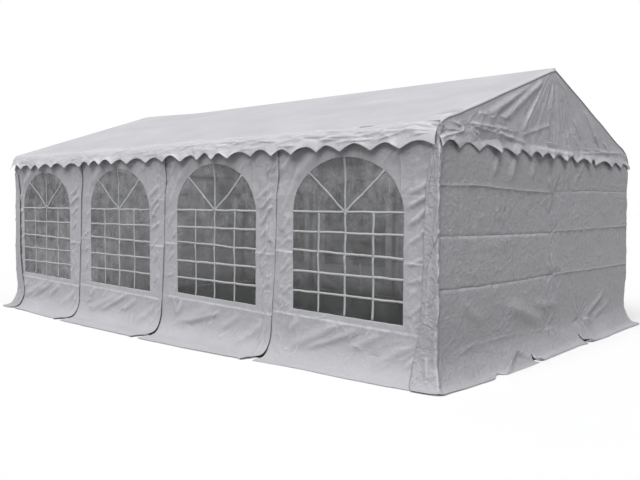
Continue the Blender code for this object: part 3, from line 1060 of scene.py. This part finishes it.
class TENT_OT_side_walls(bpy.types.Operator):
    """Hangs the eight window panels of the two long sides"""
    bl_idname = "tent.side_walls"
    bl_label = "Long walls"

    def execute(self, context):
        cloth, windows = context.scene.tent_cloth, context.scene.tent_windows
        finish = fabric("wall_fabric", cloth.wall_colour, 0.7, 0.04)
        path = smooth_path(SIDE_PATH)
        hole = arch_outline(windows, 0.0)
        for side, turned in (("front", False), ("back", True)):
            step = cloth.coarse_step if turned else cloth.fine_step
            for bay in range(BAYS):
                left, right = panel_span(bay)
                lines = [row[0] - WALL_TOP for row in SIDE_ROWS]
                across = spaced(left, right, step, (SEAM_AT, right - HEM))
                up = spaced(-path["arc"][-1], 0.0, step, lines)
                bm = flat_grid(across, up)
                cut_outline(bm, hole, keep_inside=False)
                shape = side_shape(bay, path, cloth.creasing, turned)
                name = f"wall_sheet_{side}_{bay + 1}"
                panel = lay_out(name, bm, shape, cloth.thickness, finish)
                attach(panel, "root")
                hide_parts(f"wall_{side}_{bay + 1}")
                area = (right - left) * path["arc"][-1] - outline_area(hole)
        return {"FINISHED"}


# Windows

def bar_lines(windows):
    """Centre lines of the bars of one window, as pairs of points in its panel."""
    left, right = windows.left, windows.left + windows.width
    middle = (left + right) / 2
    foot, spring = windows.foot, windows.spring
    lines = []
    for row in range(1, BAR_ROWS + 1):
        height = foot + (spring - foot) * row / BAR_ROWS
        lines.append(((left, height), (right, height)))
    for column in range(1, BAR_COLUMNS):
        x = left + windows.width * column / BAR_COLUMNS
        lines.append(((x, foot), (x, spring)))
    for turn in map(math.radians, FAN_TURNS):
        tip = (middle + windows.width / 2 * math.cos(turn), spring + windows.rise * math.sin(turn))
        lines.append(((middle, spring), tip))
    return [[(x, z - WALL_TOP) for x, z in line] for line in lines]


class TENT_OT_windows(bpy.types.Operator):
    """Sets the clear film and its welded bars into the eight window panels"""
    bl_idname = "tent.windows"
    bl_label = "Windows"

    def execute(self, context):
        cloth, windows = context.scene.tent_cloth, context.scene.tent_windows
        film_finish = window_film(windows.film_colour, windows.film_cover)
        bar_finish = fabric("window_bars", BAR_COLOUR, 0.3, 0.0)
        path = smooth_path(SIDE_PATH)
        film_outline = arch_outline(windows, FILM_MARGIN)
        for side, turned in (("front", False), ("back", True)):
            for bay in range(BAYS):
                film = self.film(side, bay, turned, path, film_outline, cloth, windows, film_finish)
                bars = self.bars(side, bay, turned, path, cloth, windows, bar_finish)
                outline_area(film_outline)
        return {"FINISHED"}

    def film(self, side, bay, turned, path, outline, cloth, windows, finish):
        low, high = outline[0][1] - 0.01, windows.spring + windows.rise + 0.03 - WALL_TOP
        across = spaced(outline[0][0] - 0.01, outline[1][0] + 0.01, FILM_STEP)
        lines = [row[0] - WALL_TOP for row in SIDE_ROWS[:2]]
        bm = flat_grid(across, spaced(low, high, FILM_STEP, lines))
        cut_outline(bm, outline, keep_inside=True)
        behind = cloth.thickness + FILM_GAP
        shape = film_shape(bay, path, windows, cloth.creasing, turned, behind)
        film = lay_out(f"film_{side}_{bay + 1}", bm, shape, FILM_THICK, finish)
        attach(film, "root")
        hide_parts(f"window_{side}_{bay + 1}")
        return film

    def bars(self, side, bay, turned, path, cloth, windows, finish):
        behind = cloth.thickness - BAR_PROUD
        shape = film_shape(bay, path, windows, cloth.creasing, turned, behind)
        draw = np.random.default_rng(300 + bay)
        bm = bmesh.new()
        for start, end in bar_lines(windows):
            start, end = Vector((*start, 0.0)), Vector((*end, 0.0))
            way = end - start
            count = max(6, round(way.length / 0.03))
            wide = windows.bar_width * draw.uniform(0.9, 1.08)
            turn = way.to_track_quat("X", "Z").to_matrix().to_4x4()
            spot = Matrix.Translation((start + end) / 2) @ turn
            stretch = Matrix.Diagonal((way.length, wide, 1.0, 1.0))
            made = bmesh.ops.create_grid(
                bm, x_segments=count, y_segments=1, size=0.5, matrix=spot @ stretch,
            )
            sway = way.cross(Vector((0, 0, 1))).normalized()
            phase = draw.uniform(0, 50)
            for vert in made["verts"]:
                along = (vert.co - start).dot(way) / way.length
                shift = 0.0045 * float(noise(along / 0.16 + phase, bay, 91))
                shift += 0.0015 * float(noise(along / 0.045 + phase, bay, 92))
                fade = min(1.0, 8 * along / way.length, 8 * (1 - along / way.length))
                vert.co += sway * shift * max(fade, 0.0)
        bars = lay_out(f"window_bars_{side}_{bay + 1}", bm, shape, BAR_THICK, finish)
        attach(bars, "root")
        return bars


# End walls

# The cloth turns the corner here and goes on along the long side by its flat return. From a
# little before the corner on, its columns lie closer.
CORNER_AT = WALL_OUT + 2 * SHINGLE
CORNER_FINE = 0.13
RETURN_FLAT = 0.20
# Slits in the skirt: where, how far they open at the foot and how high they reach
SLITS = ((-0.66, 0.045, 0.15), (0.66, 0.060, 0.20))

# Packing creases of an end wall: row, the points it runs through, its heights left and right
END_LINES = (
    (1.860, ((-2.5, 1.868), (-1.8, 1.882), (-1.1, 1.860), (-0.6, 1.847), (-0.06, 1.841),
             (0.25, 1.858), (1.1, 1.885), (2.5, 1.893)), 0.0105, -0.0065),
    (1.395, ((-2.5, 1.403), (-0.10, 1.376), (0.0, 1.393), (0.9, 1.400), (2.5, 1.414)),
     -0.0100, 0.0085),
    (0.890, ((-2.5, 0.918), (-1.7, 0.892), (-0.85, 0.886), (0.0, 0.893), (1.07, 0.882),
             (2.5, 0.877)), -0.0110, 0.0090),
)
# Where packing creases cross and crumple: centre, reach, height and number of rays
END_STARS = (
    ((-0.02, 1.845), 0.34, 0.018, 10), ((-0.02, 1.385), 0.24, 0.014, 9),
    ((-0.01, 0.893), 0.30, 0.018, 10), ((0.874, 0.288), 0.44, 0.024, 10),
    ((-1.30, 1.62), 0.18, 0.010, 7), ((-0.10, 0.29), 0.26, 0.014, 8),
    ((-1.15, 0.50), 0.20, 0.008, 6),
)
# Soft folds and sharp creases of an end wall: both ends, across and up, then height and width
END_FOLDS = (
    (-1.30, 2.34, -1.50, 1.95, 0.018, 0.050), (-0.95, 2.32, -1.12, 1.90, 0.020, 0.060),
    (-0.52, 2.30, -0.60, 1.95, 0.014, 0.050), (0.50, 2.30, 0.30, 1.95, 0.012, 0.040),
    (0.95, 2.28, 0.55, 1.92, 0.012, 0.040), (-1.25, 0.70, -0.20, 0.36, 0.026, 0.085),
    (-0.60, 0.62, 0.20, 0.52, 0.014, 0.050), (1.66, 0.56, 1.00, 0.27, 0.022, 0.045),
    (1.95, 0.42, 1.20, 0.22, 0.016, 0.050), (-2.10, 0.80, -1.60, 0.50, 0.012, 0.060),
)
END_CREASES = (
    (-0.10, 2.16, -0.03, 1.86, -0.012, 0.014), (-2.30, 0.22, -1.75, 0.36, 0.008, 0.014),
    (1.00, 1.36, 1.02, 1.16, 0.008, 0.014), (1.45, 1.38, 1.44, 1.20, 0.008, 0.014),
    (2.10, 1.34, 2.12, 1.16, 0.012, 0.014), (1.45, 0.99, 1.53, 0.88, 0.010, 0.014),
    (0.60, 0.86, 0.62, 0.66, 0.009, 0.016), (1.50, 0.84, 1.46, 0.66, 0.008, 0.016),
)
# Creases of the cloth that wraps a corner: both ends, past it and up, then height and width
WRAP_FOLDS = (
    (-0.024, 1.80, 0.066, 1.32, 0.018, 0.012), (-0.067, 1.50, 0.085, 1.30, 0.016, 0.010),
    (0.080, 1.31, 0.176, 1.09, 0.016, 0.010), (-0.060, 1.18, 0.090, 0.76, 0.018, 0.012),
    (-0.062, 0.91, 0.010, 0.60, 0.020, 0.010), (0.000, 0.66, 0.030, 0.36, 0.012, 0.010),
    (-0.076, 0.62, -0.020, 0.56, 0.014, 0.009), (0.150, 2.14, 0.180, 1.70, 0.012, 0.010),
    (0.120, 2.05, 0.150, 1.62, -0.010, 0.012), (0.090, 0.30, 0.078, 0.09, 0.020, 0.014),
    (0.110, 1.20, 0.140, 0.50, 0.008, 0.016), (0.020, 2.20, 0.060, 1.90, 0.014, 0.012),
    (-0.060, 2.16, -0.020, 1.92, 0.012, 0.010),
)


def end_relief(s, z, creasing):
    """Packing creases in three rows, crumpled where they cross, and the corner wraps."""
    relief = 0.015 + 0.007 * rough(s / 0.6, z / 0.8, 201)
    hang = np.exp(-np.clip(WALL_TOP - z, 0, 3) / 0.40)
    relief += 0.009 * hang * noise(s / 0.26, z * 0.5, 202)
    relief += line_crests(s, z, END_LINES, 0.008, 203)
    relief += crease(s, z, (-2.25, 0.300), (-0.62, 0.305), 0.007, 0.012, 0.02, 0.1)
    relief += crease(s, z, (-0.62, 0.303), (0.14, 0.245), 0.007, 0.012, 0.0, 0.1)
    relief += crease(s, z, (0.0, 2.30), (0.01, 0.30), 0.0050, 0.014, 0.0, 0.05)
    for number, crossing in enumerate(END_STARS):
        relief += star(s, z, *crossing, 211 + number)
    relief += creases(s, z, END_FOLDS, sharp=False)
    relief += creases(s, z, END_CREASES)
    relief += (0.34 + 0.16 * noise(s / 0.8, z / 0.6, 205)) * crumple(s, z, 206)
    relief += strewn(s, z, 221, (
        ((-2.4, 2.4, 0.2, 2.35), 170, 0.30, 0.0060, None, 0.014),
        ((-0.7, 2.4, 0.2, 2.1), 90, 0.18, 0.0065, (1.2, 0.7), 0.012),
    ))
    past = np.abs(s) - CORNER_AT
    edge = 0.045 + 0.070 * smooth_step((z - 1.88) / 0.34) + 0.008 * noise(z / 0.07, 0.0, 226)
    wrap = smooth_step((past + edge) / 0.016)
    ramp = 0.40 * np.clip(past + edge, 0.0, edge) * np.exp(-np.maximum(past, 0.0) / 0.04)
    mess = 0.004 + ramp * (1 - smooth_step((z - 2.16) / 0.10))
    mess = mess + random_creases(past, z, (-0.02, 0.2, 0, 2.4), 36, 0.16, 0.006, 223,
                                 (1.1, 0.6), 0.009)
    mess = mess + creases(past, z, WRAP_FOLDS, bow=0.006, fade=0.12)
    mess = mess + 0.004 * rough(s / 0.05, z / 0.06, 224) * smooth_step((z - 1.95) / 0.15)
    mess = mess + 0.004 * rough(s / 0.05, z / 0.06, 227) * smooth_step((0.45 - z) / 0.1)
    fringe = np.exp(-((past + 0.03) / 0.05) ** 2)
    mess = mess + 0.012 + 0.012 * fringe * np.abs(noise(s / 0.03, z / 0.045, 225))
    mess = mess + 0.014 * np.exp(-((past - 0.105) / 0.016) ** 2 - ((z - 2.135) / 0.03) ** 2)
    mess = mess * np.where(s > 0, 0.40, 1.0)
    relief = relief * (1 - 0.7 * wrap) + mess * wrap
    relief = relief * (1 - 0.6 * smooth_step((z - 2.10) / 0.2) * (1 - wrap))
    return np.maximum(creasing * relief, -0.001)


def return_width(z):
    """How far the cloth reaches along the long side past its corner, at each height."""
    return np.interp(
        z, (0.0, 0.05, 0.12, 0.28, 0.49, 0.85, 1.14, 1.57, 1.87, 2.04, 2.24, 2.42),
        (0.330, 0.310, 0.280, 0.235, 0.185, 0.160, 0.150, 0.142, 0.128, 0.095, 0.075, 0.075),
    )


def folded_flap(s, z):
    """The three-cornered patch beside a slit that lies flatter than the skirt around it."""
    inside = 1.0
    corners = ((-1.20, 0.0), (-0.62, 0.0), (-0.90, 0.14))
    for start, end in zip(corners, corners[1:] + corners[:1]):
        run, rise = end[0] - start[0], end[1] - start[1]
        away = (run * (z - start[1]) - rise * (s - start[0])) / math.hypot(run, rise)
        if rise:
            inside = np.minimum(inside, np.clip(away / 0.05, 0, 1))
    return inside


def end_shape(path, creasing, turned):
    tip = path["out"][-1]

    def shape(s, v):
        out, z, n_out, n_z = along_path(path, -v)
        side, far = np.where(s < 0, -1.0, 1.0), np.abs(s)
        skirt = smooth_step((out - 0.06) / (tip - 0.06))
        reach = 0.215 + 0.020 * rough(s / 0.5, 0.0, 231, 2)
        reach = reach - 0.03 * np.exp(-((s - 0.35) / 0.22) ** 2)
        reach = reach - 0.05 * np.exp(-((s + 2.45) / 0.25) ** 2)
        out = out + (reach - tip) * smooth_step(out / tip) * out / tip
        out = out - 0.075 * np.exp(-((s + 1.50) / 0.07) ** 2) * (out / tip) ** 6
        row = WALL_TOP + v
        relief = end_relief(s, row, creasing) - 0.035 * folded_flap(s, row)
        z = z + line_shift(s, row, END_LINES, 207) * smooth_step((CORNER_AT - far) / 0.1 + 1)
        ripple = np.maximum(0.012 * rough(s / 0.28, -v / 0.2, 232) + 0.008, 0.0)
        relief = relief * (1 - 0.6 * skirt) + ripple * skirt * (1 - skirt ** 4)
        out_all = out + n_out * relief
        past = np.maximum(far - CORNER_AT, 0.0)
        back = past * return_width(z) / RETURN_FLAT
        across = np.minimum(far, CORNER_AT) * (CORNER_AT + out_all) / CORNER_AT
        x = END_OUT + out_all - back
        window = 0.06 + 0.7 * out
        rounding = np.maximum(window / 2 - np.abs(far - CORNER_AT), 0) ** 2 / (2 * window)
        x = x - rounding
        y = side * (across - rounding)
        lift = 0.0
        for middle, opening, _ in SLITS:
            near = np.exp(-np.abs(s - middle) / 0.09) * skirt
            y = y + np.sign(s - middle) * opening * near * skirt * 0.5
            lift = lift + np.where(s > middle, 0.050, 0.0) * near * skirt
        z = np.maximum(z + n_z * relief + lift, 0.003) + 0.004 * skirt * (far > 2.2)
        return stack(x, y, z, turned)

    return shape


class TENT_OT_end_walls(bpy.types.Operator):
    """Hangs the two end walls, which turn round the corners over the long sides"""
    bl_idname = "tent.end_walls"
    bl_label = "End walls"

    def execute(self, context):
        cloth = context.scene.tent_cloth
        # The end walls take the darker end colour, which is painted shade.
        finish = fabric("end_wall_fabric_painted_shade", cloth.end_shaded_colour, 1.5, 0.03)
        path = smooth_path(END_PATH)
        full = path["arc"][-1]
        lines = [line[0] - WALL_TOP for line in END_LINES]
        for side, turned in (("right", False), ("left", True)):
            step = cloth.coarse_step * 1.05 if turned else cloth.fine_step * 1.08
            corner = CORNER_AT - CORNER_FINE
            middle = spaced(-corner, corner, step, [slit[0] for slit in SLITS])
            outer = np.linspace(corner, CORNER_AT + RETURN_FLAT, 15 if turned else 27)[1:]
            across = np.concatenate((-outer[::-1], middle, outer))
            up = spaced(-full, 0.0, step, lines)
            bm = flat_grid(across, up)
            for spot, _, depth in SLITS:
                drop_columns(bm, spot - 0.45 * step, spot + 0.45 * step, -full + depth)
            shape = end_shape(path, cloth.creasing, turned)
            wall = lay_out(f"end_wall_sheet_{side}", bm, shape, cloth.thickness, finish)
            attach(wall, "root")
            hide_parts(f"end_wall_{side}")
        return {"FINISHED"}


class TENT_OT_frame(bpy.types.Operator):
    """Gives the steel tubes of the frame their galvanised finish"""
    bl_idname = "tent.frame"
    bl_label = "Steel frame"

    def execute(self, context):
        finish = galvanised()
        for name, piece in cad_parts.items():
            if name.startswith(("post", "eave_rail", "ridge_rail", "rafter", "end_bar")):
                for slot in piece.material_slots:
                    slot.material = finish
        return {"FINISHED"}


class TENT_OT_stage(bpy.types.Operator):
    """Sets up the floor, the light and the camera"""
    bl_idname = "tent.stage"
    bl_label = "Stage"

    def execute(self, context):
        stage = context.scene.tent_stage
        pale = self.floor("studio_floor", (FLOOR_HALF, FLOOR_HALF), 0.0, (stage.floor_tone,) * 3)
        pale.visible_diffuse = False
        self.floor("floor_in_shade", SHADE_HALF, SHADE_Z, SHADE_COLOUR)
        self.sky(stage)
        sun = self.light("main_light", "SUN", stage.sun)
        sun.data.angle = math.radians(SUN_SPREAD)
        sun.rotation_euler = Vector(SUN_WAY).to_track_quat("-Z", "Y").to_euler()
        glow = self.light("light_through_roof", "AREA", stage.inside)
        glow.data.shape = "RECTANGLE"
        glow.data.size, glow.data.size_y = ROOF_LIGHT_SIZE
        glow.location = (0.0, 0.0, ROOF_LIGHT_Z)
        glow.visible_camera = False
        glow.visible_glossy = False
        self.camera(context)
        context.scene.view_settings.view_transform = "Standard"
        context.scene.view_settings.look = "None"
        return {"FINISHED"}

    def light(self, name, kind, energy):
        lamp = bpy.data.lights.new(name, kind)
        lamp.energy = energy
        light = bpy.data.objects.new(name, lamp)
        bpy.context.scene.collection.objects.link(light)
        return light

    def floor(self, name, half, height, colour):
        bm = bmesh.new()
        bmesh.ops.create_grid(bm, x_segments=1, y_segments=1, size=1.0)
        bmesh.ops.scale(bm, vec=(*half, 1.0), verts=bm.verts)
        bmesh.ops.translate(bm, vec=(0, 0, height), verts=bm.verts)
        mesh = bpy.data.meshes.new(name)
        bm.to_mesh(mesh)
        bm.free()
        material, tree, shader = new_material(name)
        shader.inputs["Base Color"].default_value = (*colour, 1.0)
        shader.inputs["Roughness"].default_value = 0.95
        shader.inputs["Specular IOR Level"].default_value = 0.0
        mesh.materials.append(material)
        floor = bpy.data.objects.new(name, mesh)
        bpy.context.scene.collection.objects.link(floor)
        return floor

    def sky(self, stage):
        """Soft light, stronger from above. Seen directly, it is as pale as the floor."""
        world = bpy.data.worlds.new("studio")
        bpy.context.scene.world = world
        world.use_nodes = True
        tree = world.node_tree
        tree.nodes.clear()
        seen = node(tree, "ShaderNodeLightPath").outputs["Is Camera Ray"]
        way = node(tree, "ShaderNodeTexCoord").outputs["Generated"]
        up = node(tree, "ShaderNodeSeparateXYZ", None, Vector=way).outputs["Z"]
        low = mapped(tree, up, -0.03, 0.0, stage.ground, stage.horizon)
        high = mapped(tree, up, 0.0, 1.0, 0.0, stage.zenith - stage.horizon)
        strength = maths(tree, "ADD", low, high)
        light = node(tree, "ShaderNodeBackground", None, Color=(1, 1, 1, 1), Strength=strength)
        white = node(tree, "ShaderNodeBackground", None, Color=(1, 1, 1, 1), Strength=1.0)
        mix = node(tree, "ShaderNodeMixShader", None, _0=seen, _1=light.outputs[0],
                   _2=white.outputs[0])
        out = node(tree, "ShaderNodeOutputWorld")
        tree.links.new(mix.outputs[0], out.inputs["Surface"])

    def camera(self, context):
        yaw, pitch, roll = (math.radians(a) for a in (CAMERA_YAW, CAMERA_PITCH, CAMERA_ROLL))
        ahead = Vector((math.sin(yaw) * math.cos(pitch), math.cos(yaw) * math.cos(pitch),
                        math.sin(pitch)))
        right = Vector((math.cos(yaw), -math.sin(yaw), 0.0))
        up = right.cross(ahead)
        tilted_right = right * math.cos(roll) + up * math.sin(roll)
        tilted_up = up * math.cos(roll) - right * math.sin(roll)
        turn = Matrix((tilted_right, tilted_up, -ahead)).transposed().to_4x4()
        lens = bpy.data.cameras.new("camera")
        lens.lens = CAMERA_LENS
        lens.clip_end = 500.0
        camera = bpy.data.objects.new("camera", lens)
        context.scene.collection.objects.link(camera)
        camera.matrix_world = Matrix.Translation(CAMERA_PLACE) @ turn
        context.scene.camera = camera


PIECES = (
    TENT_OT_roof, TENT_OT_gables, TENT_OT_side_walls, TENT_OT_windows, TENT_OT_end_walls,
    TENT_OT_frame, TENT_OT_stage,
)


class TENT_PT_pieces(bpy.types.Panel):
    bl_label = "Party tent"
    bl_space_type = "VIEW_3D"
    bl_region_type = "UI"
    bl_category = "Party tent"

    def draw(self, context):
        for piece in PIECES:
            self.layout.operator(piece.bl_idname)


SETTINGS = {"tent_cloth": TentCloth, "tent_windows": TentWindows, "tent_stage": TentStage}
KINDS = (*SETTINGS.values(), *PIECES, TENT_PT_pieces)


def register():
    for kind in KINDS:
        bpy.utils.register_class(kind)
    for name, kind in SETTINGS.items():
        setattr(bpy.types.Scene, name, bpy.props.PointerProperty(type=kind))


def unregister():
    for name in SETTINGS:
        delattr(bpy.types.Scene, name)
    for kind in reversed(KINDS):
        bpy.utils.unregister_class(kind)


def main():
    register()
    bpy.ops.tent.roof()
    bpy.ops.tent.gables()
    bpy.ops.tent.side_walls()
    bpy.ops.tent.windows()
    bpy.ops.tent.end_walls()
    bpy.ops.tent.frame()
    bpy.ops.tent.stage()


if __name__ == "__main__":
    main()
